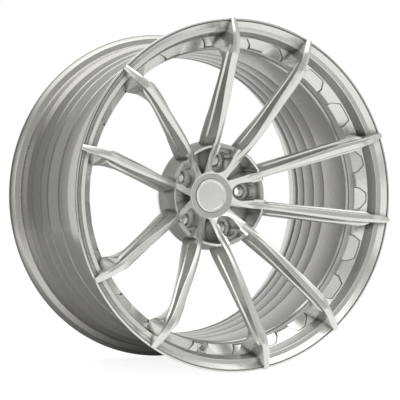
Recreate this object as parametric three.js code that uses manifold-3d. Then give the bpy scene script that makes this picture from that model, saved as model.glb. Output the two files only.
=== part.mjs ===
// Two-piece forged racing wheel, 20 x 10.5 inch, five 114.3 mm lug holes: a forged
// face with the outer lip, bolted from the tyre side to the inner barrel.
// Millimetres. The axle lies along Y, the street face looks toward -Y, +Z is up,
// and the origin is the middle of the rim. Angles run from +X toward +Z.
import * as THREE from 'three';
import { mergeVertices } from 'three/addons/utils/BufferGeometryUtils.js';
import Module from 'manifold-3d';

const wasm = await Module();
wasm.setup();

// ---- Driving dimensions ----

const RIM_SEGMENTS = 60; // facets round the rim
const GAP = 0.3; // clearance between touching pieces
const FLANGE_RADIUS = 271.5; // 20 inch rim with a 17.3 mm high J flange
const FLANGE_Y = 143.2; // middle of each flange curl, 10.5 inch rim
const PAIRS = 5; // pairs of spokes
const FIRST_PAIR = 78.15; // degrees, middle of the first pair
const PAIR_STEP = 360 / PAIRS;
const BOLT_HALF_ANGLE = 15; // degrees from a pair's middle to the bolt behind a spoke
const SPOKE_STATIONS = [0, 1, 2, 2.5, 3, 3.5, 4, 5, 6, 7, 8, 9, 10]; // in crest points

const PAD_Y = -15; // rear face that meets the car's hub
const DISH_Y = -46.5; // front face round the centre cap
const DISH_RADIUS = 36;
const HUB_FRONT = [79, -79.5]; // radius and y of the hub's front edge
const CENTRE_BORE = 36.5;
const CAP_RECESS = 27.3;
const CAP_SHOULDER_Y = -42.1;
const CAP_BORE = 24.8;
const CAP_GROOVE = 26.6;
const LUG_CIRCLE = 57.15; // 114.3 mm circle
const LUG_RECESS = 14;
const LUG_FLOOR_Y = -35;
const INSERT_BORE = 12;
const INSERT_FLOOR_Y = -22;
const LUG_HOLE = 7.6;
const SLOT_CENTRE = 50.5; // the lug slot's round inner end
const SLOT_RADIUS = 13.4;
const SLOT_FLOOR_Y = -36;
const WEB_FLOOR_Y = -60; // step between the lug slot and the hub's front edge
const GAP_FLOOR_Y = -33;

const LEDGE_OUTER = [247.3, -116.9]; // radius and y of the conical ledge
const LEDGE_INNER = [233.6, -106.6];
const WAVE_DEPTH = 2.6; // shallow scallops in the ledge
const SCALLOPS = [[[3, 12], [5.3, 8.5]], [[22, 32.7], [23.5, 30.5]]]; // base and crown, degrees
const WAVE_FOOT = 236; // radii where a scallop starts to narrow and where it ends
const WAVE_CROWN = 245.2;
const JOINT_Y = -84; // where the face and the barrel meet
const BARREL_BORE = 228;
const BOLT_CIRCLE = 239.6;
const BOLT_RADIUS = 3;
const BOLT_TIP_Y = -101;
const BOLT_SEAT_Y = -76;

const VALVE_ANGLE = FIRST_PAIR + 2.5 * PAIR_STEP;
const VALVE_RADIUS = 241; // where the valve's axis crosses the ledge
const VALVE_TRIM = 2.5; // depth of the nut's seat
const VALVE_SEAT = 18; // distance from the ledge to the grommet's seat
const STEM_TOP = 8.6;
const STEM_RADIUS = 3.85;
const STEM_BORE = 2.6;
const CORE_TOP = STEM_TOP - 1.6;
const CORE_BASE = CORE_TOP - 7.8;

const ABOVE_FACE_Y = -120; // in front of the whole hub, where its cuts start

// ---- Materials ----

const paint = (color) => new THREE.MeshStandardMaterial({ color, roughness: 0.32, metalness: 0.6 });
const steel = () => new THREE.MeshStandardMaterial({ color: 0x9a9c9e, roughness: 0.35, metalness: 1 });
const brass = () => new THREE.MeshStandardMaterial({ color: 0xb79a56, roughness: 0.4, metalness: 1 });
const rubber = () => new THREE.MeshStandardMaterial({ color: 0x1c1c1d, roughness: 0.85, metalness: 0 });
const plastic = (color) => new THREE.MeshStandardMaterial({ color, roughness: 0.5, metalness: 0 });

// ---- Helpers ----

const rad = THREE.MathUtils.degToRad;

// A closed triangle mesh as a solid for joining and cutting.
function solidOf(geometry, matrix = new THREE.Matrix4()) {
  const plain = geometry.clone().applyMatrix4(matrix);
  plain.deleteAttribute('normal');
  plain.deleteAttribute('uv');
  const merged = mergeVertices(plain, 1e-4);
  const vertProperties = new Float32Array(merged.attributes.position.array);
  const triVerts = new Uint32Array(merged.index.array);
  return new wasm.Manifold(new wasm.Mesh({ numProp: 3, vertProperties, triVerts }));
}

function geometryOf(solid) {
  const mesh = solid.getMesh();
  const geometry = new THREE.BufferGeometry();
  geometry.setAttribute('position', new THREE.BufferAttribute(new Float32Array(mesh.vertProperties), 3));
  geometry.setIndex(new THREE.BufferAttribute(new Uint32Array(mesh.triVerts), 1));
  geometry.computeVertexNormals();
  return geometry;
}

function join(...solids) {
  return solids.reduce((sum, solid) => sum.add(solid));
}

// Revolves a closed outline of [radius, y] points round the Y axis.
function lathe(outline, segments = RIM_SEGMENTS) {
  const area = outline.reduce((sum, [r, y], i) => {
    const [nextR, nextY] = outline[(i + 1) % outline.length];
    return sum + r * nextY - nextR * y;
  }, 0);
  const ordered = area > 0 ? outline : [...outline].reverse();
  const points = [...ordered, ordered[0]].map(([r, y]) => new THREE.Vector2(r, y));
  return new THREE.LatheGeometry(points, segments);
}

// A cylinder or cone along Y between two heights.
function plug(y0, y1, radius0, radius1 = radius0, sides = 24) {
  return lathe([[0, y0], [radius0, y0], [radius1, y1], [0, y1]], sides);
}

function tube(inner, outer, y0, y1, sides = 24) {
  return lathe([[inner, y0], [outer, y0], [outer, y1], [inner, y1]], sides);
}

// A round-section ring.
function roundRing(radius, y, wire, segments) {
  const sides = 6;
  const outline = Array.from({ length: sides }, (_, i) => {
    const angle = (2 * Math.PI * i) / sides;
    return [radius + wire * Math.cos(angle), y + wire * Math.sin(angle)];
  });
  return lathe(outline, segments);
}

// Joins rings of equal point counts into one closed body; flat is a ring's plane outline.
function loft(rings, flat) {
  const count = flat.length;
  const cap = THREE.ShapeUtils.triangulateShape(flat, []);
  const flip = THREE.ShapeUtils.isClockWise(flat);
  const last = (rings.length - 1) * count;
  const indices = [];
  for (let base = 0; base < last; base += count) {
    for (let i = 0; i < count; i++) {
      const a = base + i;
      const b = base + ((i + 1) % count);
      indices.push(a, b, a + count, b, b + count, a + count);
    }
  }
  for (const [a, second, third] of cap) {
    const [b, c] = flip ? [third, second] : [second, third];
    indices.push(a, c, b, last + a, last + b, last + c);
  }
  const geometry = new THREE.BufferGeometry();
  const positions = rings.flat().flatMap((p) => [p.x, p.y, p.z]);
  geometry.setAttribute('position', new THREE.Float32BufferAttribute(positions, 3));
  geometry.setIndex(indices);
  return facingOut(geometry);
}

function facingOut(geometry) {
  const positions = geometry.attributes.position;
  const index = geometry.index.array;
  const corner = (i) => new THREE.Vector3().fromBufferAttribute(positions, index[i]);
  let volume = 0;
  for (let i = 0; i < index.length; i += 3) {
    volume += corner(i).dot(corner(i + 1).cross(corner(i + 2)));
  }
  if (volume < 0) index.reverse();
  return geometry;
}

// Placement at an angle round the axle and a distance from it.
function stationMatrix(degrees, radius = 0) {
  const shift = new THREE.Matrix4().makeTranslation(radius, 0, 0);
  return new THREE.Matrix4().makeRotationY(rad(-degrees)).multiply(shift);
}

function ringPoint(radius, degrees, y) {
  return new THREE.Vector3(radius * Math.cos(rad(degrees)), y, radius * Math.sin(rad(degrees)));
}

// Straight-line reading of a list of [x, value] knots.
function readKnots(knots, x) {
  if (x <= knots[0][0]) return knots[0][1];
  for (let i = 1; i < knots.length; i++) {
    const [x0, v0] = knots[i - 1];
    const [x1, v1] = knots[i];
    if (x <= x1) return v0 + ((x - x0) / (x1 - x0)) * (v1 - v0);
  }
  return knots[knots.length - 1][1];
}

const pairAngles = Array.from({ length: PAIRS }, (_, i) => FIRST_PAIR + i * PAIR_STEP);

// ---- Spokes ----

// Crest of a spoke: distance along the pair's middle line, y, distance to its side.
const crest = new THREE.CatmullRomCurve3([
  [42, -50, 16.3],
  [62, -71.5, 22.9],
  [85, -94, 29.7],
  [124, -117.8, 40],
  [163, -136.3, 49.5],
  [197, -152.6, 57.3],
  [213, -159.6, 60.3],
  [223, -161.4, 62],
  [236.5, -159.5, 64.4],
  [249, -154.8, 66.9],
  [263.2, -149, 69.3],
].map(([x, y, z]) => new THREE.Vector3(x, y, z)));

// Sizes of a spoke's section against the distance from the axle.
const RIDGE_INNER = [[50, 7], [94, 5.2], [130, 6.4], [170, 7.4], [250, 7], [272, 4.6]];
const RIDGE_OUTER = [[50, 4.8], [94, 3.6], [130, 4], [170, 4.6], [250, 4.3], [272, 3.4]];
const WEB_DEPTH = [[50, 25.5], [94, 25.5], [116, 22], [145, 16.7], [205, 7.3], [235, 6]];
const DEPTH = [[50, 20], [80, 42], [94, 44], [116, 40], [145, 30], [205, 17],
  [220, 32], [228, 45], [233, 56], [250, 50], [272, 20]];
const SHELF = [[86, 0], [98, 1], [222, 1], [232, 0]];
const FOOT_INNER = [[50, 8], [92, 12], [224, 12], [233, 14], [247, 9], [272, 4.8]];
const FOOT_OUTER = [[50, 8], [92, 12], [224, 12], [233, 14], [247, 7], [272, 3.6]];

function spokeSection(radius) {
  const depth = readKnots(DEPTH, radius);
  const web = Math.min(readKnots(WEB_DEPTH, radius), 0.6 * depth);
  const shelf = readKnots(SHELF, radius);
  const side = (edge, foot, wallReach, shelfReach) => {
    const plain = edge + ((foot - edge) * web) / depth;
    return [wallReach, shelfReach].map((reach) => THREE.MathUtils.lerp(plain, edge + reach, shelf));
  };
  const inner = readKnots(RIDGE_INNER, radius);
  const outer = readKnots(RIDGE_OUTER, radius);
  const footInner = readKnots(FOOT_INNER, radius);
  const footOuter = readKnots(FOOT_OUTER, radius);
  const [wallInner, shelfInner] = side(inner, footInner, 2, 4.6);
  const [wallOuter, shelfOuter] = side(outer, footOuter, 2.9, 6);
  const shelfY = 1.8 + web + 0.8 * shelf;
  return [
    [-inner, 1.7],
    [0, 0],
    [outer, 1.4],
    [wallOuter, 1.6 + web],
    [shelfOuter, shelfY],
    [footOuter, depth],
    [-footInner, depth],
    [-shelfInner, shelfY],
    [-wallInner, 1.6 + web],
  ];
}

// One spoke; side is +1 or -1 for the two spokes of a pair.
function spoke(side) {
  const rings = SPOKE_STATIONS.map((station) => {
    const at = crest.getPoint(station / 10);
    const along = crest.getTangent(station / 10);
    const outward = new THREE.Vector3(-along.z, 0, along.x).normalize();
    return spokeSection(Math.hypot(at.x, at.z)).map(([n, depth]) => new THREE.Vector3(
      at.x + outward.x * n,
      at.y + depth,
      side * (at.z + outward.z * n),
    ));
  });
  return loft(rings, spokeSection(60).map(([n, depth]) => new THREE.Vector2(n, depth)));
}

// Space that a spoke may fill without coming through to the tyre side.
function spokeEnvelope() {
  return lathe([
    [0, -200],
    [FLANGE_RADIUS - 0.2, -200],
    [FLANGE_RADIUS - 0.2, -FLANGE_Y],
    [266.6, -136.2],
    [255, -133],
    [251.8, -128],
    [251.8, -104],
    [243, -96],
    [233, -90],
    [150, -20],
    [0, -20],
  ]);
}

// ---- Forged face ----

function hubBody() {
  const [frontRadius, frontY] = HUB_FRONT;
  return lathe([
    [CAP_RECESS, DISH_Y],
    [DISH_RADIUS, DISH_Y],
    [frontRadius, frontY],
    [frontRadius + 1.5, frontY + 0.8],
    [87, -34],
    [84.5, -23],
    [75, PAD_Y],
    [CENTRE_BORE, PAD_Y],
    [CENTRE_BORE, -30],
    [CAP_GROOVE, -30],
    [CAP_GROOVE, -34],
    [CAP_BORE, -34],
    [CAP_BORE, CAP_SHOULDER_Y],
    [CAP_RECESS, CAP_SHOULDER_Y],
  ], 48);
}

// Tyre side of one flange and bead seat, from the hump out to the flange's edge.
function beadSide(sign) {
  return [
    [255.2, 103.5],
    [252.8, 109],
    [254.2, 129],
    [256, 131.8],
    [265, 133.6],
    [270, 138],
  ].map(([r, y]) => [r, sign * y]);
}

function lipRing() {
  return lathe([
    [FLANGE_RADIUS, -FLANGE_Y],
    [270.6, -144.6],
    [268.4, -144.8],
    [267.5, -143.2],
    [266.6, -144.7],
    [259.2, -137.3],
    [252.4, -135],
    LEDGE_OUTER,
    LEDGE_INNER,
    [231.6, -103.6],
    [230.8, JOINT_Y],
    [246, JOINT_Y],
    [246, -93],
    [254.4, -100],
    ...beadSide(-1),
  ]);
}

// A block with sloping walls standing on floorY: half is a list of [distance, half width]
// along one side, from the axle outward.
function pocket(half, floorY, draft) {
  const outline = (grow) => [
    ...half.map(([x, w]) => [x, w + grow]),
    ...[...half].reverse().map(([x, w]) => [x, -w - grow]),
  ];
  const ring = (y, grow) => outline(grow).map(([x, z]) => new THREE.Vector3(x, y, z));
  const flat = outline(0).map(([x, z]) => new THREE.Vector2(x, z));
  return loft([ring(ABOVE_FACE_Y, draft), ring(floorY, 0)], flat);
}

// Blind pocket between two pairs of spokes.
const gapPocket = () => pocket(
  [[37.6, 1.2], [46, 4.6], [63.6, 10], [73.5, 13.2], [75.6, 11.6], [76.4, 1]], GAP_FLOOR_Y, 6.5,
);

// Slot between the spokes of a pair, with a round inner end and the lug hole in its floor.
function lugSlot() {
  const end = [10, 35, 60, 90].map((turn) => [
    SLOT_CENTRE - SLOT_RADIUS * Math.cos(rad(turn)),
    SLOT_RADIUS * Math.sin(rad(turn)),
  ]);
  return pocket([...end, [64, SLOT_RADIUS]], SLOT_FLOOR_Y, 3.5);
}

const webPocket = () => pocket([[60, 12], [73, 13.4], [75.4, 11.5], [76.2, 1]], WEB_FLOOR_Y, 6);

// The low front edge of the hub's wall between the spokes of a pair.
const webNotch = () => pocket([[66, 13], [90, 17]], -70, 5);

function lugCut() {
  return lathe([
    [0, ABOVE_FACE_Y], [LUG_RECESS, ABOVE_FACE_Y], [LUG_RECESS, LUG_FLOOR_Y],
    [INSERT_BORE, LUG_FLOOR_Y], [INSERT_BORE, INSERT_FLOOR_Y], [LUG_HOLE, INSERT_FLOOR_Y],
    [LUG_HOLE, 0], [0, 0],
  ], 24);
}

function ledgeY(radius) {
  const [r0, y0] = LEDGE_OUTER;
  const [r1, y1] = LEDGE_INNER;
  return y0 + ((radius - r0) / (r1 - r0)) * (y1 - y0);
}

const ledgeSlope = Math.atan2(LEDGE_INNER[1] - LEDGE_OUTER[1], LEDGE_OUTER[0] - LEDGE_INNER[0]);

// One scallop in the ledge, open at its inner edge: base and crown are [from, to] in
// degrees from the pair's middle.
function scallop(base, crown) {
  const innerRadius = LEDGE_INNER[0] - 4;
  const outline = [
    [innerRadius, base[0]],
    [WAVE_FOOT, base[0]],
    [WAVE_CROWN, crown[0]],
    [WAVE_CROWN, (crown[0] + crown[1]) / 2],
    [WAVE_CROWN, crown[1]],
    [WAVE_FOOT, base[1]],
    [innerRadius, base[1]],
  ];
  const plate = (depth) => outline.map(([radius, degrees]) => ringPoint(
    radius + depth * Math.sin(ledgeSlope),
    degrees,
    ledgeY(radius) + depth * Math.cos(ledgeSlope),
  ));
  return loft([plate(-6), plate(WAVE_DEPTH)], outline.map(([r, d]) => new THREE.Vector2(r, d)));
}

function forgedFace() {
  let face = solidOf(hubBody());
  for (const angle of pairAngles) {
    face = face.subtract(solidOf(webNotch(), stationMatrix(angle)));
  }
  let ring = solidOf(lipRing());
  for (const angle of pairAngles) {
    const turn = stationMatrix(angle);
    for (const side of [1, -1]) {
      for (const [base, crown] of SCALLOPS) {
        const mirrored = [base, crown].map((ends) => ends.map((degrees) => side * degrees));
        ring = ring.subtract(solidOf(scallop(...mirrored), turn));
      }
    }
  }
  face = face.add(ring);
  const envelope = solidOf(spokeEnvelope());
  for (const angle of pairAngles) {
    for (const side of [1, -1]) {
      face = face.add(solidOf(spoke(side), stationMatrix(angle)).intersect(envelope));
    }
  }
  face = face.subtract(solidOf(plug(ABOVE_FACE_Y, CAP_SHOULDER_Y, CAP_RECESS, CAP_RECESS, 48)));
  for (const angle of pairAngles) {
    face = face.subtract(solidOf(gapPocket(), stationMatrix(angle + PAIR_STEP / 2)));
    face = face.subtract(solidOf(lugSlot(), stationMatrix(angle)));
    face = face.subtract(solidOf(webPocket(), stationMatrix(angle)));
    face = face.subtract(solidOf(lugCut(), stationMatrix(angle, LUG_CIRCLE)));
    for (const side of [1, -1]) {
      face = face.subtract(boltHole(BOLT_TIP_Y - 1, angle + side * BOLT_HALF_ANGLE));
    }
  }
  return face.subtract(solidOf(valveCut(), valveFrame));
}

function boltHole(tipY, degrees) {
  const radius = BOLT_RADIUS + GAP;
  return solidOf(plug(tipY, -60, radius, radius, 10), stationMatrix(degrees, BOLT_CIRCLE));
}

// ---- Barrel ----

function innerBarrel() {
  const frontY = JOINT_Y + GAP;
  let barrel = solidOf(lathe([
    [BARREL_BORE + 2.6, frontY],
    [233.2, frontY],
    [233.2, frontY + 2.6],
    [236, frontY + 2.6],
    [236, frontY],
    [245.6, frontY],
    [245.6, BOLT_SEAT_Y],
    [234.6, BOLT_SEAT_Y],
    [234.2, -20],
    [237, 9],
    [238.4, 11],
    [241, 46],
    [242.4, 48],
    [244.5, 68],
    [246, 70],
    [249.4, 96],
    ...beadSide(1),
    [FLANGE_RADIUS, FLANGE_Y],
    [269, 147],
    [264.6, 146.4],
    [257, 141.6],
    [249.5, 143],
    [245, 122],
    [232, 98],
    [232, 91],
    [BARREL_BORE, 87],
    [BARREL_BORE, 81],
    [BARREL_BORE + 1.8, 79.4],
    [BARREL_BORE + 1.8, 76.6],
    [BARREL_BORE, 75],
    [BARREL_BORE, frontY + 2.4],
  ]));
  for (const angle of pairAngles) {
    for (const side of [1, -1]) {
      barrel = barrel.subtract(boltHole(-90, angle + side * BOLT_HALF_ANGLE));
    }
  }
  return barrel;
}

// Bolt from behind: head on the barrel's flange, thread in the face.
function assemblyBolt() {
  const seat = BOLT_SEAT_Y + GAP;
  const shankRadius = BOLT_RADIUS - 0.1;
  const head = solidOf(plug(seat, seat + 5.4, 4.8, 4.6, 14));
  const shank = solidOf(plug(BOLT_TIP_Y, seat + 1, shankRadius, shankRadius, 10));
  const socket = solidOf(plug(seat + 2.6, -60, 2.6, 2.6, 6));
  return join(head, shank).subtract(socket);
}

// ---- Hub pieces ----

function lugInsert() {
  const floorY = INSERT_FLOOR_Y - GAP;
  const outerRadius = INSERT_BORE - GAP;
  const coneDepth = (10.4 - LUG_HOLE) / Math.tan(rad(30));
  return lathe([
    [11.2, -37.2],
    [outerRadius, -36.7],
    [outerRadius, floorY],
    [LUG_HOLE, floorY],
    [LUG_HOLE, -36.2 + coneDepth],
    [10.4, -36.2],
  ], 24);
}

function centringRing() {
  return lathe([
    [32.1, PAD_Y - 0.2],
    [CENTRE_BORE - GAP, PAD_Y - 0.2],
    [CENTRE_BORE - GAP, -28],
    [35, -29],
    [32.1, -29],
  ], 40);
}

function capCover() {
  return lathe([
    [0, -45.2],
    [0, -46.3],
    [21.4, -46.3],
    [22.5, -49.2],
    [25, -49.4],
    [26.7, -48],
    [26.7, -45.2],
  ], 40);
}

function capBody() {
  const plateY = CAP_SHOULDER_Y - GAP;
  const plate = solidOf(lathe([[0, -44.9], [25.4, -44.9], [25.4, plateY], [0, plateY]], 40));
  const clips = Array.from({ length: 6 }, (_, i) => {
    const leg = new THREE.BoxGeometry(1.2, 12, 7).translate(22.8, -37, 0);
    const hook = new THREE.BoxGeometry(1.6, 2.2, 7).translate(23.4, -32, 0);
    return join(solidOf(leg), solidOf(hook));
  });
  return clips.reduce((body, clip, i) => body.add(solidOf(geometryOf(clip), stationMatrix(60 * i))), plate);
}

// ---- Valve ----

// Valve pieces are drawn round +Y, with y = 0 on the ledge and +Y out of it.
const valveAxis = ringPoint(-Math.sin(ledgeSlope), VALVE_ANGLE, 0);
valveAxis.y = -Math.cos(ledgeSlope);
const valveFrame = new THREE.Matrix4().compose(
  ringPoint(VALVE_RADIUS, VALVE_ANGLE, ledgeY(VALVE_RADIUS)),
  new THREE.Quaternion().setFromUnitVectors(new THREE.Vector3(0, 1, 0), valveAxis),
  new THREE.Vector3(1, 1, 1),
);

function valveCut() {
  return lathe([
    [0, 12], [8, 12], [8, -VALVE_TRIM], [5.8, -VALVE_TRIM], [5.8, -VALVE_SEAT],
    [9.2, -VALVE_SEAT], [9.2, -40], [0, -40],
  ], 24);
}

function valveStem() {
  return lathe([
    [STEM_BORE, -24.6], [7, -24.6], [7.8, -23.8], [7.8, -21.4],
    [STEM_RADIUS, -21.4], [STEM_RADIUS, STEM_TOP], [STEM_BORE, STEM_TOP],
  ], 20);
}

function valveNut() {
  const bore = STEM_RADIUS + GAP;
  const body = join(solidOf(plug(-0.9, 0.3, 7.3)), solidOf(plug(0, 3.4, 6.4, 6.4, 6)));
  return body.subtract(solidOf(plug(-2, 5, bore, bore, 20)));
}

function coreBody() {
  return lathe([
    [1.1, CORE_BASE], [2.3, CORE_BASE], [2.3, CORE_TOP], [1.9, CORE_TOP],
    [1.9, CORE_BASE + 1], [1.1, CORE_BASE + 1],
  ], 20);
}

// Pin with the sealing disc under the core's body and the spring's collar near its top.
function corePin() {
  const stem = solidOf(plug(CORE_BASE - 1.5, STEM_TOP - 0.5, 0.8, 0.8, 12));
  const disc = solidOf(plug(CORE_BASE - 1.5, CORE_BASE - GAP, 2, 2, 16));
  const collar = solidOf(plug(CORE_TOP - 1.9, CORE_TOP - 1.1, 1.6, 1.6, 16));
  return join(stem, disc, collar);
}

class CoilCurve extends THREE.Curve {
  constructor(radius, y0, y1, turns) {
    super();
    Object.assign(this, { radius, y0, y1, turns });
  }

  getPoint(t) {
    const angle = 2 * Math.PI * this.turns * t;
    const y = THREE.MathUtils.lerp(this.y0, this.y1, t);
    return new THREE.Vector3(this.radius * Math.cos(angle), y, this.radius * Math.sin(angle));
  }
}

function coreSpring() {
  const wire = new THREE.Shape();
  wire.absarc(0, 0, 0.18, 0, 2 * Math.PI);
  const coil = new CoilCurve(1.36, CORE_BASE + 1.5, CORE_TOP - 2.4, 4);
  return new THREE.ExtrudeGeometry(wire, { steps: 48, extrudePath: coil, curveSegments: 3 });
}

function valveCap() {
  return lathe([
    [0, STEM_TOP + 2.6], [4, STEM_TOP + 2.6], [4.8, STEM_TOP + 1.8], [4.8, 3.8],
    [STEM_RADIUS + GAP, 3.8], [STEM_RADIUS + GAP, STEM_TOP + 1.4], [0, STEM_TOP + 1.4],
  ], 20);
}

// ---- Assembly ----

const wheel = new THREE.Group();

function addPiece(name, piece, material, matrix = new THREE.Matrix4()) {
  const solid = piece instanceof THREE.BufferGeometry ? solidOf(piece) : piece;
  const mesh = new THREE.Mesh(geometryOf(solid).applyMatrix4(matrix), material);
  mesh.name = name;
  wheel.add(mesh);
}

addPiece('forged_face', forgedFace(), paint(0xb9bab6));
addPiece('inner_barrel', innerBarrel(), paint(0xa9aaa6));
addPiece('barrel_seal_ring', roundRing(234.6, JOINT_Y + 1.5, 1.1), rubber());

pairAngles.forEach((angle, pair) => {
  for (const side of [1, -1]) {
    const number = String(2 * pair + (side > 0 ? 1 : 2)).padStart(2, '0');
    const matrix = stationMatrix(angle + side * BOLT_HALF_ANGLE, BOLT_CIRCLE);
    addPiece(`assembly_bolt_${number}`, assemblyBolt(), steel(), matrix);
  }
});

pairAngles.forEach((angle, pair) => {
  addPiece(`lug_seat_insert_${pair + 1}`, lugInsert(), steel(), stationMatrix(angle, LUG_CIRCLE));
});

addPiece('hub_centring_ring', centringRing(), plastic(0x3a3c3e));
addPiece('centre_cap_cover', capCover(), paint(0xc4c5c1));
addPiece('centre_cap_body', capBody(), plastic(0x2b2c2e));
addPiece('cap_spring_ring', roundRing(21.2, -35, 0.7, 36), steel());

addPiece('valve_stem', valveStem(), steel(), valveFrame);
addPiece('valve_grommet', tube(STEM_RADIUS + GAP, 7.6, -21.1, -18.3), rubber(), valveFrame);
addPiece('valve_washer', tube(STEM_RADIUS + GAP, 7.3, -2.2, -1.2), steel(), valveFrame);
addPiece('valve_nut', valveNut(), steel(), valveFrame);
addPiece('valve_core_body', coreBody(), brass(), valveFrame);
addPiece('valve_core_spring', coreSpring(), steel(), valveFrame);
addPiece('valve_core_pin', corePin(), brass(), valveFrame);
addPiece('valve_cap', valveCap(), plastic(0x77797a), valveFrame);
addPiece('valve_cap_seal', tube(1.6, 3.7, STEM_TOP + 0.4, STEM_TOP + 1.1), rubber(), valveFrame);

export default wheel;
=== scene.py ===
"""Forged racing wheel: fine surfaces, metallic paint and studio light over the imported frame.

Outlines are in millimetres: [radius, y] round the axle, or [n, depth] across a spoke.
The axle lies along Y, the street face looks toward -Y, and angles run from +X toward +Z.
"""
import math

import bmesh
import bpy
from mathutils import Matrix, Vector


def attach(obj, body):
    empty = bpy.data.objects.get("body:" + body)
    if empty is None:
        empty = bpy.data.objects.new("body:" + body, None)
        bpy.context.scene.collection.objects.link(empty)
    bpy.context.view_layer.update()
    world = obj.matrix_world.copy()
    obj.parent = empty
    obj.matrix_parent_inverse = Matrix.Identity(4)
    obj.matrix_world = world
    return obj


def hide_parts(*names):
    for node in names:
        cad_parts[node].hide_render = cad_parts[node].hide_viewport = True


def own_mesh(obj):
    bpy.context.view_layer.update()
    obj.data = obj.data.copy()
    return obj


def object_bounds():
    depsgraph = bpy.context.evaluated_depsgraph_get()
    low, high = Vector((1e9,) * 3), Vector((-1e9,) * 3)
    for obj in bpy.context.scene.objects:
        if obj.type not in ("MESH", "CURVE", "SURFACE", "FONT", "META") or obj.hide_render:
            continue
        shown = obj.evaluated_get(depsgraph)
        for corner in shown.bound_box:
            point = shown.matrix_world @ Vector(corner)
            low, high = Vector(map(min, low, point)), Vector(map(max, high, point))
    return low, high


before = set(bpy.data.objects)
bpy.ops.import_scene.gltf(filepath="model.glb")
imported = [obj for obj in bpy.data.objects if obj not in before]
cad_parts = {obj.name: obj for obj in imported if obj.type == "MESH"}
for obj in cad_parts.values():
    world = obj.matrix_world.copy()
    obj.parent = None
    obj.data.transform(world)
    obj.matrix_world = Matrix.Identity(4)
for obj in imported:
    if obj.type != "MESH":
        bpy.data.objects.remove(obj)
cad_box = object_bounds()

# ---- Driving dimensions, millimetres ----

MM = 0.001
GAP = 0.3
FLANGE_RADIUS = 271.5
FLANGE_Y = 143.2
FIRST_PAIR = 78.15  # degrees, middle of the first pair of spokes
PAIR_STEP = 72
PAIR_ANGLES = [FIRST_PAIR + PAIR_STEP * i for i in range(5)]
BOLT_HALF_ANGLE = 15

PAD_Y = -15
DISH_Y = -46.5
HUB_FRONT = (79, -79.5)
CENTRE_BORE = 36.5
CAP_RECESS = 27.3
CAP_SHOULDER_Y = -42.1
CAP_BORE = 24.8
CAP_GROOVE = 26.6
LUG_CIRCLE = 57.15
LUG_RECESS = 14
LUG_FLOOR_Y = -35
INSERT_BORE = 12
INSERT_FLOOR_Y = -22
LUG_HOLE = 7.6
SLOT_CENTRE = 50.5  # the lug slot's round inner end
SLOT_RADIUS = 13.4
SLOT_FLOOR_Y = -36
WEB_FLOOR_Y = -60
GAP_FLOOR_Y = -33
ABOVE_FACE_Y = -120  # in front of the whole hub, where its cuts start

LEDGE_OUTER = (247.3, -116.9)
LEDGE_INNER = (233.6, -106.6)
WAVE_DEPTH = 2.6
WAVE_FOOT = 236
WAVE_CROWN = 245.2
SCALLOP_RADIUS = 240  # where a scallop's angles turn into lengths
SCALLOPS = [((3, 12), (5.3, 8.5)), ((22, 32.7), (23.5, 30.5))]  # base and crown, degrees
JOINT_Y = -84
BARREL_BORE = 228
BOLT_CIRCLE = 239.6
BOLT_RADIUS = 3
BOLT_TIP_Y = -101
BOLT_SEAT_Y = -76
BEHIND_BOLTS_Y = -60  # behind every bolt head, where the cuts for them start

VALVE_ANGLE = FIRST_PAIR + 2.5 * PAIR_STEP
VALVE_RADIUS = 241
VALVE_TRIM = 2.5
VALVE_SEAT = 18
STEM_TOP = 8.6
STEM_RADIUS = 3.85
STEM_BORE = 2.6
CORE_TOP = STEM_TOP - 1.6
CORE_BASE = CORE_TOP - 7.8

RIM_FACETS = 256
LEDGE_SLOPE = math.atan2(LEDGE_INNER[1] - LEDGE_OUTER[1], LEDGE_OUTER[0] - LEDGE_INNER[0])


# ---- Geometry helpers ----


def rounded(outline, steps=4):
    """Rounds a closed outline's corners; a corner is (a, b) or (a, b, fillet radius)."""
    points = []
    count = len(outline)
    for i, corner in enumerate(outline):
        here = Vector(corner[:2])
        before = Vector(outline[i - 1][:2]) - here
        after = Vector(outline[(i + 1) % count][:2]) - here
        fillet = corner[2] if len(corner) > 2 else 0
        if not fillet:
            points.append(here)
            continue
        turn = before.angle(after, math.pi)
        reach = min(fillet / math.tan(turn / 2), 0.45 * before.length, 0.45 * after.length)
        start = here + before.normalized() * reach
        end = here + after.normalized() * reach
        for k in range(steps + 1):
            t = k / steps
            points.append(start.lerp(here, t).lerp(here.lerp(end, t), t))
    return points


def mesh_object(name, build):
    mesh = bpy.data.meshes.new(name)
    shape = bmesh.new()
    build(shape)
    bmesh.ops.recalc_face_normals(shape, faces=shape.faces)
    bmesh.ops.scale(shape, vec=(MM, MM, MM), verts=shape.verts)
    shape.to_mesh(mesh)
    shape.free()
    piece = bpy.data.objects.new(name, mesh)
    bpy.context.scene.collection.objects.link(piece)
    return piece


def add_lathe(shape, outline, facets=96, matrix=None, steps=4):
    """Revolves a closed outline round the Y axis; points at radius 0 close on the axis."""
    rings = []
    for radius, y in rounded(outline, steps):
        if radius < 1e-6:
            rings.append([shape.verts.new((0, y, 0))])
            continue
        turns = [2 * math.pi * i / facets for i in range(facets)]
        rings.append([shape.verts.new((radius * math.cos(a), y, radius * math.sin(a))) for a in turns])
    for ring, following in zip(rings, rings[1:] + rings[:1]):
        if len(ring) == 1 and len(following) == 1:
            continue
        for i in range(facets):
            j = (i + 1) % facets
            corners = [ring[i % len(ring)], ring[j % len(ring)],
                       following[j % len(following)], following[i % len(following)]]
            unique = list(dict.fromkeys(corners))
            shape.faces.new(unique)
    if matrix:
        verts = [v for ring in rings for v in ring]
        bmesh.ops.transform(shape, matrix=matrix, verts=verts)


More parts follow.
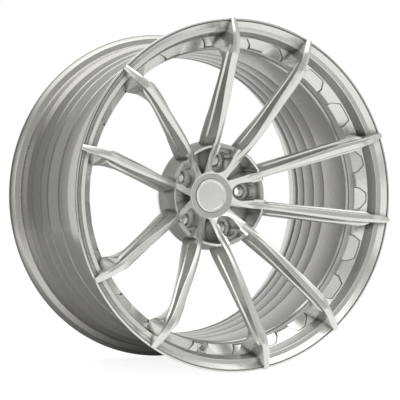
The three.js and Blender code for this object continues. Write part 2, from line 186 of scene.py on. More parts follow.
def add_loft(shape, rings):
    """Joins rings of Vectors with equal counts into a closed body."""
    rows = [[shape.verts.new(p) for p in ring] for ring in rings]
    count = len(rows[0])
    for row, following in zip(rows, rows[1:]):
        for i in range(count):
            j = (i + 1) % count
            shape.faces.new((row[i], row[j], following[j], following[i]))
    shape.faces.new(list(reversed(rows[0])))
    shape.faces.new(rows[-1])


def add_plug(shape, y0, y1, radius, facets=48, matrix=None, chamfer=0):
    outline = [(0, y0), (radius, y0, chamfer), (radius, y1, chamfer), (0, y1)]
    add_lathe(shape, outline, facets, matrix, 3)


def station(degrees, radius=0):
    """Placement at an angle round the axle and a distance from it."""
    turn = Matrix.Rotation(-math.radians(degrees), 4, "Y")
    return turn @ Matrix.Translation((radius, 0, 0))


def ring_point(radius, degrees, y):
    angle = math.radians(degrees)
    return Vector((radius * math.cos(angle), y, radius * math.sin(angle)))


def combine(piece, other, operation):
    """Joins or cuts piece with other, which is used up."""
    change = piece.modifiers.new("shape", "BOOLEAN")
    change.operation = operation
    change.solver = "MANIFOLD"
    change.object = other
    settled = piece.evaluated_get(bpy.context.evaluated_depsgraph_get())
    mesh = bpy.data.meshes.new_from_object(settled)
    piece.modifiers.clear()
    piece.data = mesh
    bpy.data.objects.remove(other)


def smooth_reading(knots):
    """A smooth monotone curve through [x, value] knots, as a function."""
    xs = [k[0] for k in knots]
    vs = [k[1] for k in knots]
    rises = [(v1 - v0) / (x1 - x0) for x0, x1, v0, v1 in zip(xs, xs[1:], vs, vs[1:])]
    slopes = [rises[0]]
    for left, right in zip(rises, rises[1:]):
        slopes.append(0 if left * right <= 0 else 2 * left * right / (left + right))
    slopes.append(rises[-1])

    def read(x):
        if x <= xs[0]:
            return vs[0]
        if x >= xs[-1]:
            return vs[-1]
        i = max(k for k in range(len(xs) - 1) if xs[k] <= x)
        width = xs[i + 1] - xs[i]
        t = (x - xs[i]) / width
        a = (1 + 2 * t) * (1 - t) ** 2 * vs[i]
        b = t * (1 - t) ** 2 * width * slopes[i]
        c = t * t * (3 - 2 * t) * vs[i + 1]
        d = t * t * (t - 1) * width * slopes[i + 1]
        return a + b + c + d

    return read


def finish_piece(piece, body, nodes, material, sharp_degrees=28):
    mesh = piece.data
    mesh.shade_smooth()
    mesh.set_sharp_from_angle(angle=math.radians(sharp_degrees))
    mesh.materials.clear()
    mesh.materials.append(material)
    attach(piece, body)
    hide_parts(*nodes)
    return piece


# ---- Materials ----


def new_material(name):
    material = bpy.data.materials.new(name)
    material.use_nodes = True
    nodes = material.node_tree.nodes
    return material, nodes, material.node_tree.links, nodes["Principled BSDF"]


def speckle(nodes, links, scale, detail, low, high):
    """Object-space noise remapped to a narrow range of values."""
    place = nodes.new("ShaderNodeTexCoord")
    noise = nodes.new("ShaderNodeTexNoise")
    noise.inputs["Scale"].default_value = scale
    noise.inputs["Detail"].default_value = detail
    links.new(place.outputs["Object"], noise.inputs["Vector"])
    span = nodes.new("ShaderNodeMapRange")
    span.inputs["From Min"].default_value = 0.3
    span.inputs["From Max"].default_value = 0.7
    span.inputs["To Min"].default_value = low
    span.inputs["To Max"].default_value = high
    links.new(noise.outputs["Fac"], span.inputs["Value"])
    return noise, span


def soften_edges(nodes, links, shader, flake):
    edge = nodes.new("ShaderNodeBevel")
    edge.samples = 6
    edge.inputs["Radius"].default_value = 0.0006
    links.new(edge.outputs["Normal"], flake.inputs["Normal"])
    links.new(edge.outputs["Normal"], shader.inputs["Coat Normal"])


def paint_crease_shade(nodes, links, shader, tint):
    """Painted shade: ambient occlusion multiplies the base colour darker in tight corners and creases."""
    crease_occlusion = nodes.new("ShaderNodeAmbientOcclusion")
    crease_occlusion.samples = 8
    crease_occlusion.only_local = True
    crease_occlusion.inputs["Distance"].default_value = 0.012
    depth = nodes.new("ShaderNodeMapRange")
    depth.inputs["From Min"].default_value = 0.35
    depth.inputs["From Max"].default_value = 0.85
    depth.inputs["To Min"].default_value = 0.35
    links.new(crease_occlusion.outputs["AO"], depth.inputs["Value"])
    shade = nodes.new("ShaderNodeMix")
    shade.data_type = "RGBA"
    shade.blend_type = "MULTIPLY"
    shade.inputs["Factor"].default_value = 1
    links.new(tint.outputs["Result"], shade.inputs["A"])
    links.new(depth.outputs["Result"], shade.inputs["B"])
    links.new(shade.outputs["Result"], shader.inputs["Base Color"])


def metallic_paint(name, colour, roughness, edges_and_crease_shade=True):
    """Silver base coat with fine flake under a clear coat; unless switched off, softly rounded edges and
    painted shade darkening the base colour in corners.
    """
    material, nodes, links, shader = new_material(name)
    cells = nodes.new("ShaderNodeTexVoronoi")
    cells.inputs["Scale"].default_value = 900
    place = nodes.new("ShaderNodeTexCoord")
    links.new(place.outputs["Object"], cells.inputs["Vector"])
    tint = nodes.new("ShaderNodeMix")
    tint.data_type = "RGBA"
    tint.inputs["A"].default_value = (*[c * 0.93 for c in colour], 1)
    tint.inputs["B"].default_value = (*[min(1, c * 1.07) for c in colour], 1)
    links.new(cells.outputs["Color"], tint.inputs["Factor"])
    _, rough = speckle(nodes, links, 12, 2, roughness - 0.01, roughness + 0.02)
    links.new(rough.outputs["Result"], shader.inputs["Roughness"])
    flake = nodes.new("ShaderNodeBump")
    flake.inputs["Strength"].default_value = 0.02
    flake.inputs["Distance"].default_value = 0.0001
    links.new(cells.outputs["Distance"], flake.inputs["Height"])
    links.new(flake.outputs["Normal"], shader.inputs["Normal"])
    # Rounded edges, and painted shade in corners from ambient occlusion darkening the base colour.
    if edges_and_crease_shade:
        soften_edges(nodes, links, shader, flake)
        paint_crease_shade(nodes, links, shader, tint)
    else:
        links.new(tint.outputs["Result"], shader.inputs["Base Color"])
    shader.inputs["Metallic"].default_value = 0.85
    shader.inputs["Coat Weight"].default_value = 0.35
    shader.inputs["Coat Roughness"].default_value = 0.06
    return material


def machined_metal(name, colour, roughness):
    """Turned metal with fine tool marks, drawn as noise in its bump and roughness."""
    material, nodes, links, shader = new_material(name)
    noise, rough = speckle(nodes, links, 300, 4, roughness - 0.06, roughness + 0.08)
    links.new(rough.outputs["Result"], shader.inputs["Roughness"])
    marks = nodes.new("ShaderNodeBump")
    marks.inputs["Strength"].default_value = 0.12
    marks.inputs["Distance"].default_value = 0.0001
    links.new(noise.outputs["Fac"], marks.inputs["Height"])
    links.new(marks.outputs["Normal"], shader.inputs["Normal"])
    shader.inputs["Base Color"].default_value = (*colour, 1)
    shader.inputs["Metallic"].default_value = 1
    return material


def moulded(name, colour, roughness, grain):
    """Rubber or plastic with a fine moulded grain."""
    material, nodes, links, shader = new_material(name)
    noise, rough = speckle(nodes, links, grain, 5, roughness - 0.08, roughness + 0.06)
    links.new(rough.outputs["Result"], shader.inputs["Roughness"])
    bump = nodes.new("ShaderNodeBump")
    bump.inputs["Strength"].default_value = 0.2
    bump.inputs["Distance"].default_value = 0.0002
    links.new(noise.outputs["Fac"], bump.inputs["Height"])
    links.new(bump.outputs["Normal"], shader.inputs["Normal"])
    shader.inputs["Base Color"].default_value = (*colour, 1)
    return material


# The face paint carries painted shade in its corners; the barrel and cap paints have none.
FACE_PAINT = metallic_paint("face_paint", (0.67, 0.672, 0.645), 0.22)
BARREL_PAINT = metallic_paint("barrel_paint", (0.5, 0.495, 0.47), 0.26, edges_and_crease_shade=False)
CAP_PAINT = metallic_paint("cap_silver", (0.93, 0.935, 0.92), 0.3, edges_and_crease_shade=False)
BOLT_STEEL = machined_metal("bolt_steel", (0.5, 0.51, 0.52), 0.35)
INSERT_STEEL = machined_metal("insert_steel", (0.72, 0.72, 0.7), 0.25)
SPRING_STEEL = machined_metal("spring_steel", (0.62, 0.62, 0.64), 0.25)
VALVE_METAL = machined_metal("valve_metal", (0.66, 0.67, 0.66), 0.25)
CORE_BRASS = machined_metal("core_brass", (0.72, 0.56, 0.28), 0.3)
BLACK_PLASTIC = moulded("cap_plastic", (0.03, 0.03, 0.033), 0.5, 900)
RING_PLASTIC = moulded("ring_plastic", (0.045, 0.045, 0.05), 0.5, 900)
GREY_PLASTIC = moulded("valve_cap_grey", (0.3, 0.31, 0.31), 0.4, 1500)
SEAL_RUBBER = moulded("seal_rubber", (0.02, 0.02, 0.02), 0.75, 700)


# ---- Spokes ----

# Crest of a spoke against the distance along the pair's middle line.
CREST_Y = smooth_reading([(42, -50), (62, -71.5), (85, -94), (124, -117.8), (163, -136.3), (197, -152.6),
                          (213, -159.6), (223, -161.4), (236.5, -159.5), (249, -154.8), (263.2, -149)])
CREST_SIDE = smooth_reading([(42, 16.3), (62, 22.9), (85, 29.7), (124, 40), (163, 49.5), (197, 57.3),
                             (213, 60.3), (223, 62), (236.5, 64.4), (249, 66.9), (263.2, 69.3)])

# Sizes of a spoke's section against the distance from the axle.
RIDGE_INNER = smooth_reading([(50, 7), (94, 5.2), (130, 6.4), (170, 7.4), (250, 7), (272, 4.6)])
RIDGE_OUTER = smooth_reading([(50, 4.8), (94, 3.6), (130, 4), (170, 4.6), (250, 4.3), (272, 3.4)])
WEB_DEPTH = smooth_reading([(50, 25.5), (94, 25.4), (116, 22), (145, 16.7), (205, 7.3), (235, 6)])
DEPTH = smooth_reading([(50, 20), (80, 42), (94, 44), (116, 40), (145, 30), (205, 17), (220, 32),
                        (228, 45), (233, 56), (250, 50), (272, 20)])
SHELF = smooth_reading([(86, 0), (98, 1), (222, 1), (232, 0)])
FOOT_INNER = smooth_reading([(50, 8), (92, 12), (224, 12), (233, 14), (247, 9), (272, 4.8)])
FOOT_OUTER = smooth_reading([(50, 8), (92, 12), (224, 12), (233, 14), (247, 7), (272, 3.6)])
SPOKE_STEP = 2.5
SPOKE_START = 42
SPOKE_END = 263.2


def side_edges(edge, foot, depth, web, shelf, wall_reach, shelf_reach):
    """Half widths of a side's wall and shelf, from a plain taper at shelf 0 to a step at shelf 1."""
    plain = edge + (foot - edge) * web / depth
    return [plain + (edge + reach - plain) * shelf for reach in (wall_reach, shelf_reach)]


def spoke_section(radius):
    depth = DEPTH(radius)
    web = min(WEB_DEPTH(radius), 0.6 * depth)
    shelf = SHELF(radius)
    inner, outer = RIDGE_INNER(radius), RIDGE_OUTER(radius)
    foot_in, foot_out = FOOT_INNER(radius), FOOT_OUTER(radius)
    wall_in, shelf_in = side_edges(inner, foot_in, depth, web, shelf, 2, 4.6)
    wall_out, shelf_out = side_edges(outer, foot_out, depth, web, shelf, 2.9, 6)
    shelf_y = 1.8 + web + 0.8 * shelf
    return rounded([
        (-inner, 1.7, 0.9),
        (0, 0, 0.6),
        (outer, 1.4, 0.8),
        (wall_out, 1.6 + web, 1.4),
        (shelf_out, shelf_y, 0.7),
        (foot_out, depth, 1.2),
        (-foot_in, depth, 1.2),
        (-shelf_in, shelf_y, 0.7),
        (-wall_in, 1.6 + web, 1),
    ])


def spoke_rings(side):
    rings = []
    count = round((SPOKE_END - SPOKE_START) / SPOKE_STEP)
    for i in range(count + 1):
        along = SPOKE_START + (SPOKE_END - SPOKE_START) * i / count
        at = Vector((along, CREST_Y(along), CREST_SIDE(along)))
        ahead = CREST_SIDE(along + 1) - CREST_SIDE(along - 1)
        outward = Vector((-ahead, 0, 2)).normalized()
        ring = []
        for n, depth in spoke_section(math.hypot(at.x, at.z)):
            point = at + outward * n
            ring.append(Vector((point.x, at.y + depth, side * point.z)))
        rings.append(ring)
    return rings


def build_spokes(shape):
    for angle in PAIR_ANGLES:
        for side in (1, -1):
            turn = station(angle)
            add_loft(shape, [[turn @ p for p in ring] for ring in spoke_rings(side)])


def build_envelope(shape):
    """Where the spokes may reach: inside the flange, and not through the lip or the ledge."""
    add_lathe(shape, [
        (0, -200), (FLANGE_RADIUS - 0.2, -200), (FLANGE_RADIUS - 0.2, -FLANGE_Y), (266.6, -136.2),
        (255, -133), (251.8, -128), (251.8, -104), (243, -96), (233, -90), (150, -20), (0, -20),
    ], RIM_FACETS)


# ---- Forged face ----


def build_hub(shape):
    front_radius, front_y = HUB_FRONT
    add_lathe(shape, [
        (CAP_RECESS, DISH_Y, 0.8),
        (36, DISH_Y, 6),
        (front_radius, front_y, 0.8),
        (front_radius + 1.5, front_y + 0.8, 0.8),
        (87, -34, 5),
        (84.5, -23, 3),
        (75, PAD_Y, 1.2),
        (CENTRE_BORE, PAD_Y, 0.8),
        (CENTRE_BORE, -30),
        (CAP_GROOVE, -30),
        (CAP_GROOVE, -34),
        (CAP_BORE, -34, 0.4),
        (CAP_BORE, CAP_SHOULDER_Y, 0.4),
        (CAP_RECESS, CAP_SHOULDER_Y),
    ], 192)


def bead_side(sign):
    return [
        (255.2, sign * 103.5, 1.2),
        (252.8, sign * 109, 1.5),
        (254.2, sign * 129, 0.8),
        (256, sign * 131.8, 1),
        (265, sign * 133.6, 4),
        (270, sign * 138, 3),
    ]


def build_lip(shape):
    add_lathe(shape, [
        (FLANGE_RADIUS, -FLANGE_Y, 1),
        (270.6, -144.6, 0.8),
        (268.5, -144.8, 0.3),
        (268.1, -142.9, 0.3),
        (267.1, -142.9, 0.3),
        (266.6, -144.7, 0.4),
        (259.2, -137.3, 1),
        (252.4, -135, 1.6),
        (*LEDGE_OUTER, 2),
        (*LEDGE_INNER, 1),
        (231.6, -103.6, 1),
        (230.8, JOINT_Y, 0.3),
        (246, JOINT_Y, 0.4),
        (246, -93, 2),
        (254.4, -100, 3),
        *bead_side(-1),
    ], RIM_FACETS)


def ledge_y(radius):
    (r0, y0), (r1, y1) = LEDGE_OUTER, LEDGE_INNER
    return y0 + (radius - r0) / (r1 - r0) * (y1 - y0)


def scallop_edge(base, crown):
    """Open edge of a scallop as (arc length, radius) points, from one end of its mouth round."""
    scale = math.radians(SCALLOP_RADIUS)
    inner = LEDGE_INNER[0] - 4
    corners = [
        (base[0] * scale, inner), (base[0] * scale, WAVE_FOOT, 3), (crown[0] * scale, WAVE_CROWN, 3),
        (crown[1] * scale, WAVE_CROWN, 3), (base[1] * scale, WAVE_FOOT, 3), (base[1] * scale, inner),
    ]
    flat = rounded(corners, 5)
    spread = []
    for here, following in zip(flat, flat[1:]):
        parts = max(1, round((following - here).length / 3))
        spread += [here.lerp(following, k / parts) for k in range(parts)]
    return spread + [flat[-1]]


def ledge_point(spot, depth, angle):
    """A point under the ledge: spot is (arc length, radius), depth goes into the metal."""
    radius = spot.y + depth * math.sin(LEDGE_SLOPE)
    degrees = angle + spot.x / math.radians(SCALLOP_RADIUS)
    return ring_point(radius, degrees, ledge_y(spot.y) + depth * math.cos(LEDGE_SLOPE))


def add_scallop(shape, edge, angle):
    add_loft(shape, [[ledge_point(spot, depth, angle) for spot in edge] for depth in (-6, WAVE_DEPTH)])


def add_outline_groove(shape, edge, angle):
    """Fine groove that the cutter leaves along a scallop's edge."""
    half, floor_y = 0.7, WAVE_DEPTH + 1.4
    rings = []
    for i, spot in enumerate(edge):
        ahead = edge[min(i + 1, len(edge) - 1)] - edge[max(i - 1, 0)]
        across = Vector((-ahead.y, ahead.x)).normalized() * half
        rings.append([
            ledge_point(spot + across, -6, angle), ledge_point(spot + across, floor_y, angle),
            ledge_point(spot - across, floor_y, angle), ledge_point(spot - across, -6, angle),
        ])
    add_loft(shape, rings)


def build_on_scallops(shape, add):
    for angle in PAIR_ANGLES:
        for base, crown in SCALLOPS:
            for side in (1, -1):
                edge = scallop_edge([side * d for d in base], [side * d for d in crown])
                add(shape, edge, angle)


def add_pocket(shape, half, floor_y, draft, angle, fillet=2):
    """A block with sloping walls standing on floor_y; half lists (distance, half width)."""
    rings = []
    for y, grow in ((ABOVE_FACE_Y, draft), (floor_y, 0)):
        outline = [(x, w + grow, fillet) for x, w in half]
        outline += [(x, -w - grow, fillet) for x, w in reversed(half)]
        rings.append([station(angle) @ Vector((p.x, y, p.y)) for p in rounded(outline)])
    add_loft(shape, rings)


def build_notches(shape):
    for angle in PAIR_ANGLES:
        add_pocket(shape, [(66, 13), (90, 17)], -70, 5, angle, 0.5)


def build_gap_pockets(shape):
    half = [(37.6, 1.2), (46, 4.6), (63.6, 10), (73.5, 13.2), (75.6, 11.6), (76.4, 1)]
    for angle in PAIR_ANGLES:
        add_pocket(shape, half, GAP_FLOOR_Y, 6.5, angle + PAIR_STEP / 2, 1)


def build_lug_slots(shape):
    steps = 12
    end = []
    for i in range(steps + 1):
        turn = math.radians(4 + 86 * i / steps)
        end.append((SLOT_CENTRE - SLOT_RADIUS * math.cos(turn), SLOT_RADIUS * math.sin(turn)))
    for angle in PAIR_ANGLES:
        add_pocket(shape, [*end, (64, SLOT_RADIUS)], SLOT_FLOOR_Y, 3.5, angle, 0)


def build_web_pockets(shape):
    for angle in PAIR_ANGLES:
        add_pocket(shape, [(60, 12), (73, 13.4), (75.4, 11.5), (76.2, 1)], WEB_FLOOR_Y, 6, angle, 1.5)


def build_lug_cuts(shape):
    for angle in PAIR_ANGLES:
        add_lathe(shape, [
            (0, ABOVE_FACE_Y), (LUG_RECESS, ABOVE_FACE_Y), (LUG_RECESS, LUG_FLOOR_Y, 1.2),
            (INSERT_BORE, LUG_FLOOR_Y), (INSERT_BORE, INSERT_FLOOR_Y), (LUG_HOLE, INSERT_FLOOR_Y),
            (LUG_HOLE, 0), (0, 0),
        ], 72, station(angle, LUG_CIRCLE))


def build_bolt_holes(shape):
    for angle in PAIR_ANGLES:
        for side in (1, -1):
            place = station(angle + side * BOLT_HALF_ANGLE, BOLT_CIRCLE)
            add_plug(shape, BOLT_TIP_Y - 1, BEHIND_BOLTS_Y, BOLT_RADIUS + GAP, 32, place)


def build_valve_cut(shape):
    add_lathe(shape, [
        (0, 12), (8, 12), (8, -VALVE_TRIM), (5.8, -VALVE_TRIM), (5.8, -VALVE_SEAT),
        (9.2, -VALVE_SEAT), (9.2, -40), (0, -40),
    ], 64, VALVE_FRAME)


def forged_face():
    face = mesh_object("forged_face_fine", build_hub)
    combine(face, mesh_object("notches", build_notches), "DIFFERENCE")
    lip = mesh_object("lip", build_lip)
    for add in (add_scallop, add_outline_groove):
        combine(lip, mesh_object("scallops", lambda s: build_on_scallops(s, add)), "DIFFERENCE")
    spokes = mesh_object("spokes", build_spokes)
    combine(spokes, mesh_object("envelope", build_envelope), "INTERSECT")
    combine(spokes, lip, "UNION")
    combine(face, spokes, "UNION")
    recess = mesh_object("recess", lambda s: add_plug(s, ABOVE_FACE_Y, CAP_SHOULDER_Y, CAP_RECESS, 192))
    combine(face, recess, "DIFFERENCE")
    for build in (build_gap_pockets, build_lug_slots, build_web_pockets, build_lug_cuts):
        combine(face, mesh_object("hub_cuts", build), "DIFFERENCE")
    combine(face, mesh_object("bolt_holes", build_bolt_holes), "DIFFERENCE")
    combine(face, mesh_object("valve_cut", build_valve_cut), "DIFFERENCE")
    return finish_piece(face, "wheel", ["forged_face"], FACE_PAINT)


# ---- Barrel ----

GROOVES_Y = (54, 22, -12)  # fine turned lines inside the barrel
SEAL_GROOVE = (233.2, 236)


def build_barrel(shape):
    front_y = JOINT_Y + GAP
    grooves = []
    for y in GROOVES_Y:
        grooves += [(BARREL_BORE, y + 1.4, 0.3), (BARREL_BORE + 1.2, y, 0.3), (BARREL_BORE, y - 1.4, 0.3)]
    add_lathe(shape, [
        (BARREL_BORE + 2.6, front_y, 0.3),
        (SEAL_GROOVE[0], front_y),
        (SEAL_GROOVE[0], front_y + 2.6),
        (SEAL_GROOVE[1], front_y + 2.6),
        (SEAL_GROOVE[1], front_y),
        (245.6, front_y, 0.5),
        (245.6, BOLT_SEAT_Y, 0.8),
        (234.6, BOLT_SEAT_Y, 2),
        (234.2, -20, 8),
        (237, 9, 1),
        (238.4, 11, 1),
        (241, 46, 1),
        (242.4, 48, 1),
        (244.5, 68, 1),
        (246, 70, 1),
        (249.4, 96, 4),
        *bead_side(1),
        (FLANGE_RADIUS, FLANGE_Y, 1.5),
        (269, 147, 1.5),
        (264.6, 146.4, 3),
        (257, 141.6, 5),
        (249.5, 143, 1.5),
        (245, 122, 12),
        (232, 98, 2),
        (232, 91, 1),
        (BARREL_BORE, 87, 1),
        (BARREL_BORE, 81, 0.4),
        (BARREL_BORE + 1.8, 79.4, 0.4),
        (BARREL_BORE + 1.8, 76.6, 0.4),
        (BARREL_BORE, 75, 0.4),
        *grooves,
        (BARREL_BORE, front_y + 2.4, 0.6),
    ], RIM_FACETS, None, 3)


def inner_barrel():
    barrel = mesh_object("inner_barrel_fine", build_barrel)
    return finish_piece(barrel, "wheel", ["inner_barrel"], BARREL_PAINT)


def round_ring(shape, radius, y, wire, facets):
    outline = []
    for i in range(16):
        angle = math.pi * i / 8
        outline.append((radius + wire * math.cos(angle), y + wire * math.sin(angle)))
    add_lathe(shape, outline, facets)


def assembly_bolt(number, angle):
    seat = BOLT_SEAT_Y + GAP
    place = station(angle, BOLT_CIRCLE)

    def build(shape):
        add_lathe(shape, [
            (0, BOLT_TIP_Y), (BOLT_RADIUS - 0.1, BOLT_TIP_Y, 0.5), (BOLT_RADIUS - 0.1, seat),
            (4.8, seat, 0.3), (4.6, seat + 5.4, 0.6), (0, seat + 5.4),
        ], 40, place)

    bolt = mesh_object(f"assembly_bolt_fine_{number:02d}", build)
    socket = mesh_object("socket", lambda s: add_plug(s, seat + 2.6, BEHIND_BOLTS_Y, 2.6, 6, place))
    combine(bolt, socket, "DIFFERENCE")
    return finish_piece(bolt, "wheel", [f"assembly_bolt_{number:02d}"], BOLT_STEEL)


# ---- Hub pieces ----


def lug_insert(number, angle):
    floor_y = INSERT_FLOOR_Y - GAP
    outer = INSERT_BORE - GAP
    cone_depth = (10.4 - LUG_HOLE) / math.tan(math.radians(30))

    def build(shape):
        add_lathe(shape, [
            (11.2, -37.2, 0.3), (outer, -36.7, 0.3), (outer, floor_y), (LUG_HOLE, floor_y),
            (LUG_HOLE, -36.2 + cone_depth, 0.5), (10.4, -36.2, 0.4),
        ], 72, station(angle, LUG_CIRCLE))

    insert = mesh_object(f"lug_insert_fine_{number}", build)
    return finish_piece(insert, "wheel", [f"lug_seat_insert_{number}"], INSERT_STEEL)


def turned_piece(name, body, node, material, outline, facets=128, matrix=None):
    piece = mesh_object(name, lambda s: add_lathe(s, outline, facets, matrix))
    return finish_piece(piece, body, [node], material)


def centring_ring():
    outer = CENTRE_BORE - GAP
    return turned_piece("centring_ring_fine", "wheel", "hub_centring_ring", RING_PLASTIC, [
        (32.1, PAD_Y - 0.2, 0.6), (outer, PAD_Y - 0.2, 0.6), (outer, -28, 0.4), (35, -29, 0.4),
        (32.1, -29, 0.6),
    ])


def cap_cover():
    return turned_piece("cap_cover_fine", "centre_cap", "centre_cap_cover", CAP_PAINT, [
        (0, -45.2), (0, -46.4), (20.6, -46.3, 0.2), (20.9, -46, 0.2), (21.4, -46.1, 0.3),
        (22.5, -49.2, 0.5), (25, -49.4, 0.8), (26.7, -48, 0.6), (26.7, -45.2, 0.3),
    ], 160)


def cap_body():
    plate_y = CAP_SHOULDER_Y - GAP
    body = mesh_object("cap_body_fine", lambda s: add_lathe(s, [
        (0, -44.9), (25.4, -44.9, 0.4), (25.4, plate_y, 0.5), (0, plate_y),
    ], 128))

    def build_clips(shape):
        for i in range(6):
            profile = rounded([
                (22.2, -43), (23.4, -43), (23.4, -33.1, 0.3), (24.2, -33.1, 0.2), (24.2, -31.9, 0.3),
                (23.6, -30.9, 0.3), (22.2, -30.9, 0.3),
            ])
            rings = [[station(60 * i) @ Vector((p.x, p.y, z)) for p in profile] for z in (-3.5, 3.5)]
            add_loft(shape, rings)

    combine(body, mesh_object("clips", build_clips), "UNION")
    return finish_piece(body, "centre_cap", ["centre_cap_body"], BLACK_PLASTIC)


def cap_spring():
    ring = mesh_object("cap_spring_fine", lambda s: round_ring(s, 21.2, -35, 0.7, 128))
    return finish_piece(ring, "centre_cap", ["cap_spring_ring"], SPRING_STEEL)


def barrel_seal():
    ring = mesh_object("barrel_seal_fine", lambda s: round_ring(s, 234.6, JOINT_Y + 1.5, 1.1, RIM_FACETS))
    return finish_piece(ring, "wheel", ["barrel_seal_ring"], SEAL_RUBBER)


# ---- Valve ----

# Valve pieces are drawn round +Y, with y = 0 on the ledge and +Y out of it.
VALVE_AXIS = ring_point(-math.sin(LEDGE_SLOPE), VALVE_ANGLE, -math.cos(LEDGE_SLOPE))
VALVE_FRAME = Matrix.LocRotScale(
    ring_point(VALVE_RADIUS, VALVE_ANGLE, ledge_y(VALVE_RADIUS)),
    Vector((0, 1, 0)).rotation_difference(VALVE_AXIS),
    None,
)


def valve_lathe(name, body, node, material, outline, facets=64):
    return turned_piece(name, body, node, material, outline, facets, VALVE_FRAME)


def valve_ring(name, node, material, outer, y0, y1, inner=STEM_RADIUS + GAP, body="wheel"):
    outline = [(inner, y0, 0.15), (outer, y0, 0.3), (outer, y1, 0.3), (inner, y1, 0.15)]
    return valve_lathe(name, body, node, material, outline)


def threaded_stem():
    """Stem with its thread drawn as close rings, not as a helix."""
    pitch = 0.8
    rows = int((STEM_TOP - 0.6) / pitch) - 4
    thread = []
    for i in range(rows):
        y = STEM_TOP - 0.6 - pitch * i
        thread += [(STEM_RADIUS - 0.35, y), (STEM_RADIUS, y - pitch / 2)]
    outline = [
        (STEM_BORE, -24.6, 0.3), (7, -24.6, 0.6), (7.8, -23.8, 0.6), (7.8, -21.4, 0.4),
        (STEM_RADIUS, -21.4), *reversed(thread), (STEM_RADIUS - 0.5, STEM_TOP, 0.2), (STEM_BORE, STEM_TOP),
    ]
    return valve_lathe("valve_stem_fine", "wheel", "valve_stem", VALVE_METAL, outline)


def valve_nut():
    bore = STEM_RADIUS + GAP
    nut = mesh_object("valve_nut_fine", lambda s: add_plug(s, -0.9, 0.3, 7.3, 64, VALVE_FRAME, 0.3))
    combine(nut, mesh_object("hex", lambda s: add_plug(s, 0, 3.4, 6.4, 6, VALVE_FRAME)), "UNION")
    dome = [(0, -1), (7.4, -1), (7.4, 1.9), (6.0, 3.4), (0, 3.6)]
    combine(nut, mesh_object("dome", lambda s: add_lathe(s, dome, 64, VALVE_FRAME)), "INTERSECT")
    combine(nut, mesh_object("bore", lambda s: add_plug(s, -2, 5, bore, 48, VALVE_FRAME)), "DIFFERENCE")
    return finish_piece(nut, "wheel", ["valve_nut"], VALVE_METAL)


def core_body():
    return valve_lathe("valve_core_fine", "wheel", "valve_core_body", CORE_BRASS, [
        (1.1, CORE_BASE, 0.1), (2.3, CORE_BASE, 0.3), (2.3, CORE_TOP, 0.2), (1.9, CORE_TOP, 0.1),
        (1.9, CORE_BASE + 1), (1.1, CORE_BASE + 1, 0.1),
    ])


def core_pin():
    return valve_lathe("valve_pin_fine", "valve_pin", "valve_core_pin", CORE_BRASS, [
        (0, CORE_BASE - 1.5), (2, CORE_BASE - 1.5, 0.3), (2, CORE_BASE - GAP, 0.2),
        (0.8, CORE_BASE - GAP), (0.8, CORE_TOP - 1.9), (1.6, CORE_TOP - 1.9, 0.1),
        (1.6, CORE_TOP - 1.1, 0.1), (0.8, CORE_TOP - 1.1), (0.8, STEM_TOP - 0.5, 0.3), (0, STEM_TOP - 0.5),
    ], 32)


def core_spring():
    turns, steps, sides = 4, 160, 10
    radius, wire = 1.36, 0.18
    low, high = CORE_BASE + 1.5, CORE_TOP - 2.4

    def build(shape):
        rings = []
        for i in range(steps + 1):
            angle = 2 * math.pi * turns * i / steps
            out = Vector((math.cos(angle), 0, math.sin(angle)))
            centre = out * radius + Vector((0, low + (high - low) * i / steps, 0))
            around = [2 * math.pi * k / sides for k in range(sides)]
            rings.append([VALVE_FRAME @ (centre + wire * (out * math.cos(a) + Vector((0, math.sin(a), 0))))
                          for a in around])
        add_loft(shape, rings)

    spring = mesh_object("valve_spring_fine", build)
    finish_piece(spring, "wheel", ["valve_core_spring"], SPRING_STEEL)
    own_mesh(spring)
    return spring


def valve_cap():
    inner = STEM_RADIUS + GAP
    cap = mesh_object("valve_cap_fine", lambda s: add_lathe(s, [
        (0, STEM_TOP + 2.6), (4, STEM_TOP + 2.6, 0.8), (4.8, STEM_TOP + 1.8, 0.6), (4.8, 3.8, 0.3),
        (inner, 3.8, 0.1), (inner, STEM_TOP + 1.4), (0, STEM_TOP + 1.4),
    ], 72, VALVE_FRAME))

    def build_ribs(shape):
        for i in range(18):
            place = VALVE_FRAME @ station(20 * i, 4.95)
            add_plug(shape, 4.4, STEM_TOP + 1.2, 0.32, 12, place)

    combine(cap, mesh_object("ribs", build_ribs), "DIFFERENCE")
    return finish_piece(cap, "valve_cap_body", ["valve_cap"], GREY_PLASTIC)


# ---- Assembly ----

forged_face()
inner_barrel()
barrel_seal()
for pair, pair_angle in enumerate(PAIR_ANGLES):
    assembly_bolt(2 * pair + 1, pair_angle + BOLT_HALF_ANGLE)
    assembly_bolt(2 * pair + 2, pair_angle - BOLT_HALF_ANGLE)
    lug_insert(pair + 1, pair_angle)
centring_ring()
cap_cover()
cap_body()
cap_spring()
threaded_stem()
valve_ring("valve_grommet_fine", "valve_grommet", SEAL_RUBBER, 7.6, -21.1, -18.3)
valve_ring("valve_washer_fine", "valve_washer", VALVE_METAL, 7.3, -2.2, -1.2)
valve_nut()
core_body()
core_spring()
core_pin()
valve_cap()
valve_ring("valve_cap_seal_fine", "valve_cap_seal", SEAL_RUBBER, 3.7, STEM_TOP + 0.4,
           STEM_TOP + 1.1, 1.6, "valve_cap_body")


# ---- Studio ----

CAMERA_PLACE = (-1.1343, -2.2928, 0)
CAMERA_TURN = 26.38  # degrees to the right of +Y
CAMERA_SENSOR = 36  # millimetres, as is the lens
CAMERA_LENS = 142.65
CAMERA_SHIFT = -0.0115
FLOOR_Z = cad_box[0][2]
FLOOR_RADIUS = 1
FLOOR_GLOW = 0.85  # what the camera sees of the floor
FLOOR_POOL = 0.85  # what the floor sends to the wheel from in front of it
ROOM_LIGHT = 0.17
WORLD_LIGHTS = [  # direction axis, where the light starts and is full, radiance
    ("Y", 0.1, -0.6, 0.36),
    ("Z", 0.55, 0.92, 1.4),
    ("X", 0.5, 0.95, 0.5),
    ("Y", 0.75, 0.97, 0.95),
]


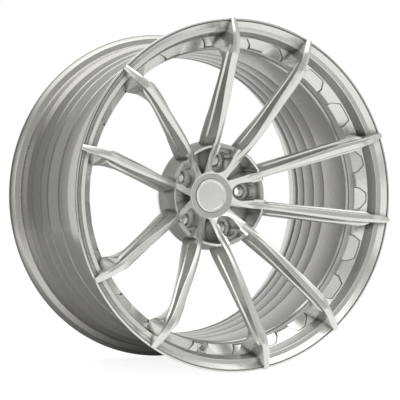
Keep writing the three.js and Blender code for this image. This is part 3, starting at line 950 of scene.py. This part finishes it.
def add_camera():
    data = bpy.data.cameras.new("camera")
    data.sensor_width = CAMERA_SENSOR
    data.lens = CAMERA_LENS
    data.shift_y = CAMERA_SHIFT
    camera = bpy.data.objects.new("camera", data)
    camera.location = CAMERA_PLACE
    camera.rotation_euler = (math.pi / 2, 0, -math.radians(CAMERA_TURN))
    bpy.context.scene.collection.objects.link(camera)
    bpy.context.scene.camera = camera


def seen_directly(nodes, links, hidden, seen):
    """A strength that is plain for the camera, and is the hidden socket for all other rays."""
    path = nodes.new("ShaderNodeLightPath")
    choice = nodes.new("ShaderNodeMix")
    choice.inputs["B"].default_value = seen
    links.new(path.outputs["Is Camera Ray"], choice.inputs["Factor"])
    links.new(hidden, choice.inputs["A"])
    return choice.outputs["Result"]


def ramp(nodes, links, source, start, end, value):
    """Rises smoothly from 0 to value as source goes from start to end."""
    span = nodes.new("ShaderNodeMapRange")
    span.interpolation_type = "SMOOTHSTEP"
    span.inputs["From Min"].default_value = start
    span.inputs["From Max"].default_value = end
    span.inputs["To Max"].default_value = value
    links.new(source, span.inputs["Value"])
    return span.outputs["Result"]


def total(nodes, links, first, second):
    """The sum of two values, each a number or a socket."""
    addition = nodes.new("ShaderNodeMath")
    for socket, value in zip(addition.inputs, (first, second)):
        if isinstance(value, (int, float)):
            socket.default_value = value
        else:
            links.new(value, socket)
    return addition.outputs["Value"]


def add_floor():
    """Pale floor under the wheel, just larger than the studio's pool of light."""

    def build(shape):
        radius, facets = FLOOR_RADIUS / MM, 96
        turns = [math.tau * i / facets for i in range(facets)]
        rim = [(radius * math.cos(a), radius * math.sin(a), FLOOR_Z / MM) for a in turns]
        shape.faces.new([shape.verts.new(p) for p in rim])

    floor = mesh_object("floor", build)
    material, nodes, links, shader = new_material("floor_pale")
    _, rough = speckle(nodes, links, 3, 3, 0.75, 0.85)
    links.new(rough.outputs["Result"], shader.inputs["Roughness"])
    shader.inputs["Base Color"].default_value = (0.3, 0.3, 0.3, 1)
    shader.inputs["Emission Color"].default_value = (1, 1, 1, 1)
    place = nodes.new("ShaderNodeTexCoord")
    split = nodes.new("ShaderNodeSeparateXYZ")
    links.new(place.outputs["Object"], split.inputs["Vector"])
    pool = ramp(nodes, links, split.outputs["Y"], 0.15, -0.15, FLOOR_POOL)
    links.new(seen_directly(nodes, links, pool, FLOOR_GLOW), shader.inputs["Emission Strength"])
    floor.data.materials.append(material)


def add_softbox(name, place, target, width, height, radiance):
    data = bpy.data.lights.new(name, "AREA")
    data.shape = "RECTANGLE"
    data.size = width
    data.size_y = height
    data.energy = radiance * math.pi * width * height
    light = bpy.data.objects.new(name, data)
    light.location = place
    light.rotation_euler = (Vector(target) - Vector(place)).to_track_quat("-Z", "Y").to_euler()
    bpy.context.scene.collection.objects.link(light)


def add_world():
    """Studio of graded light, strongest from overhead; plain white to the eye."""
    world = bpy.data.worlds.new("studio")
    world.use_nodes = True
    nodes, links = world.node_tree.nodes, world.node_tree.links
    background = nodes["Background"]
    background.inputs["Color"].default_value = (1, 1, 1, 1)
    place = nodes.new("ShaderNodeTexCoord")
    split = nodes.new("ShaderNodeSeparateXYZ")
    links.new(place.outputs["Generated"], split.inputs["Vector"])
    light = ROOM_LIGHT
    for axis, start, end, value in WORLD_LIGHTS:
        light = total(nodes, links, light, ramp(nodes, links, split.outputs[axis], start, end, value))
    links.new(seen_directly(nodes, links, light, 1), background.inputs["Strength"])
    bpy.context.scene.world = world
    bpy.context.scene.view_settings.view_transform = "Standard"


add_camera()
add_floor()
add_world()
add_softbox("left", (-3.3, -3, 0.7), (0, 0, 0), 2.6, 2.6, 0.7)
add_softbox("top", (0.2, -1.2, 2.8), (0, 0, 0), 2.4, 2, 0.6)
